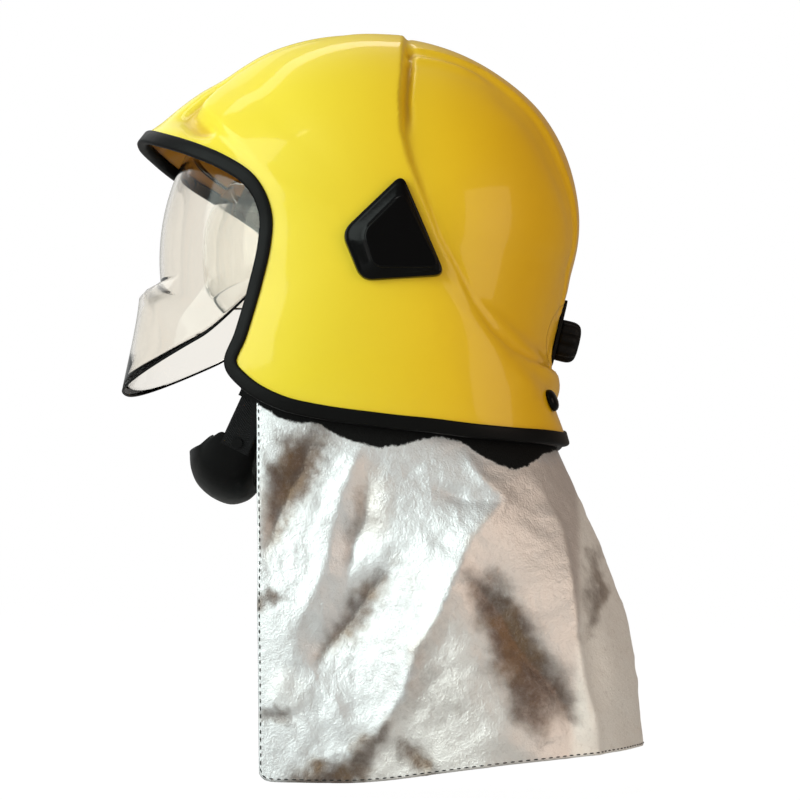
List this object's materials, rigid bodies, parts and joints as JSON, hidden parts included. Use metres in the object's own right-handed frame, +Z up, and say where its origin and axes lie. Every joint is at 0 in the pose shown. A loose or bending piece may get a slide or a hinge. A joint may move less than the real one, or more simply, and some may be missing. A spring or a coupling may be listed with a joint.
{
  "type": "fire helmet",
  "caption": "Jet-style fire helmet with a crested yellow shell, swing-down clear face shield, inner eye shield, nape ratchet, chin strap with cup and a silver neck curtain.",
  "frame": {"origin": "middle of the headband ring, where the wearer's head sits", "axes": "+Z up, -Y the way the helmet faces, +X to the wearer's left, millimetres in the source and metres here"},
  "size_m": [0.2683, 0.3441, 0.4859],
  "materials": {
    "shell_yellow": "high gloss lacquered yellow",
    "black_rubber": "satin black extrusion",
    "liner_foam": "matte moulded foam",
    "black_gloss": "glossy black moulding",
    "dark_plastic": "fine-grained black moulding",
    "clear_visor": "clear polycarbonate with a faint smoky tint",
    "steel": "plain bright steel",
    "pad_fabric": "soft padded cloth",
    "cradle_webbing": "woven webbing",
    "black_webbing": "woven webbing",
    "silver_cloth": "aluminised cloth, crinkled and bright",
    "button_red": "glossy moulding"
  },
  "bodies": {
    "helmet": {"outer_shell": "shell_yellow", "edge_trim": "black_rubber", "impact_liner": "liner_foam", "pivot_bushes": "dark_plastic", "outer_spacers": "dark_plastic", "inner_spacers": "dark_plastic", "pivot_screws": "steel", "side_cover_left": "black_gloss", "side_cover_right": "black_gloss", "headband": "dark_plastic", "brow_pad": "pad_fabric", "cradle_strap_cross": "cradle_webbing", "cradle_strap_left": "cradle_webbing", "cradle_strap_right": "cradle_webbing", "cradle_rivets": "steel", "side_bracket_left": "dark_plastic", "side_bracket_right": "dark_plastic", "bracket_screws": "steel", "ratchet_housing": "dark_plastic", "knob_plate": "dark_plastic", "nape_pad": "pad_fabric", "nape_studs": "black_gloss", "curtain_rail": "dark_plastic", "neck_curtain": "silver_cloth", "curtain_snaps": "steel"},
    "face_visor": {"face_arm_left": "dark_plastic", "face_arm_right": "dark_plastic", "face_shield": "clear_visor", "face_shield_edge": "black_rubber", "face_rivet_set": "steel"},
    "eye_visor": {"eye_arm_left": "dark_plastic", "eye_arm_right": "dark_plastic", "eye_shield": "clear_visor", "eye_rivet_set": "steel"},
    "knob": {"ratchet_knob": "dark_plastic", "pinion": "steel"},
    "left_rack": {"rack_left": "dark_plastic"},
    "right_rack": {"rack_right": "dark_plastic"},
    "chin_strap": {"strap_tab_left": "steel", "strap_tab_right": "steel", "webbing_left": "black_webbing", "webbing_right_upper": "black_webbing", "webbing_right_lower": "black_webbing", "buckle_body": "dark_plastic", "buckle_tongue": "dark_plastic", "strap_keeper": "dark_plastic", "chin_cup": "dark_plastic", "cup_rivets": "steel"},
    "release_button": {"buckle_button": "button_red"}
  },
  "joints": [
    {"name": "face_shield_hinge", "type": "hinge", "parent": "helmet", "child": "face_visor", "pos_m": [0, -0.002, 0], "axis": [-1, 0, 0], "range_deg": [0, 38]},
    {"name": "eye_shield_hinge", "type": "hinge", "parent": "helmet", "child": "eye_visor", "pos_m": [0, -0.002, 0], "axis": [-1, 0, 0], "range_deg": [0, 30]},
    {"name": "knob_turn", "type": "hinge", "parent": "helmet", "child": "knob", "pos_m": [0, 0.1139, -0.051], "axis": [0, -0.9724, 0.2334], "range_deg": [0, 180]},
    {"name": "left_rack_slide", "type": "slide", "parent": "helmet", "child": "left_rack", "axis": [-1, 0, 0], "range_m": [0, 0.01571]},
    {"name": "right_rack_slide", "type": "slide", "parent": "helmet", "child": "right_rack", "axis": [1, 0, 0], "range_m": [0, 0.01571]},
    {"name": "chin_strap_swing", "type": "hinge", "parent": "helmet", "child": "chin_strap", "pos_m": [0, -0.031, 0.012], "axis": [-1, 0, 0], "range_deg": [-15, 15]},
    {"name": "button_press", "type": "slide", "parent": "chin_strap", "child": "release_button", "axis": [0.9685, 0.1075, 0.2246], "range_m": [0, 0.0016], "stiffness_N_per_m": 400, "springref_m": -0.001}
  ],
  "couplings": [
    {"joint": "left_rack_slide", "follows": "knob_turn", "m_per_rad": 0.005},
    {"joint": "right_rack_slide", "follows": "knob_turn", "m_per_rad": 0.005}
  ]
}
